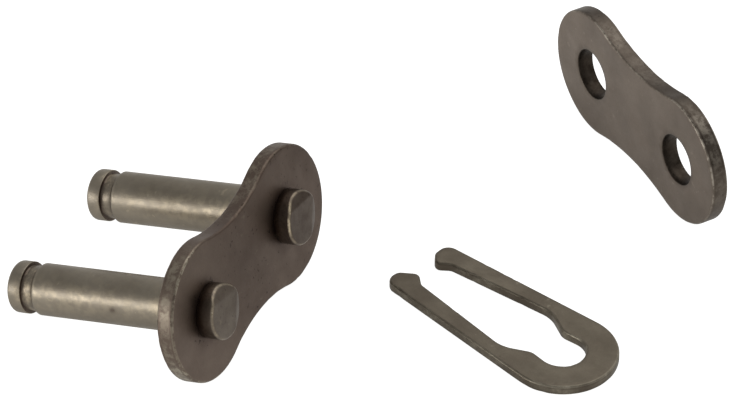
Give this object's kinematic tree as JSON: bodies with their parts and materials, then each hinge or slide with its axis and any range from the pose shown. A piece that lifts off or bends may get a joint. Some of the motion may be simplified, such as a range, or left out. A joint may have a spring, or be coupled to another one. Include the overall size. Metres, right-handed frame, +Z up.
{
  "type": "drive chain connecting link",
  "caption": "Clip-type connecting link for a motorcycle drive chain, taken apart: a plate with riveted pins, a loose cover plate and a flat spring clip.",
  "frame": {"origin": "on the bench under the middle of the laid-out pieces", "axes": "+Z up from the bench, +X along the spring clip towards its closed end, +Y towards the cover plate"},
  "size_m": [0.0542, 0.0648, 0.0139],
  "materials": {
    "plate_steel": "heat-treated dark satin",
    "pin_steel": "ground satin",
    "cover_steel": "heat-treated dark satin",
    "clip_steel": "blued spring steel, satin"
  },
  "bodies": {
    "pin_link": {"pin_plate": "plate_steel", "front_pin": "pin_steel", "rear_pin": "pin_steel"},
    "cover": {"cover_plate": "cover_steel"},
    "clip": {"spring_clip": "clip_steel"}
  },
  "joints": [
    {"name": "cover_slide", "type": "slide", "parent": "pin_link", "child": "cover", "axis": [0.284, 0.9588, 0], "range_m": [0, 0.0197]},
    {"name": "clip_slide", "type": "slide", "parent": "pin_link", "child": "clip", "axis": [1, 0, 0], "range_m": [0, 0.0193]}
  ]
}
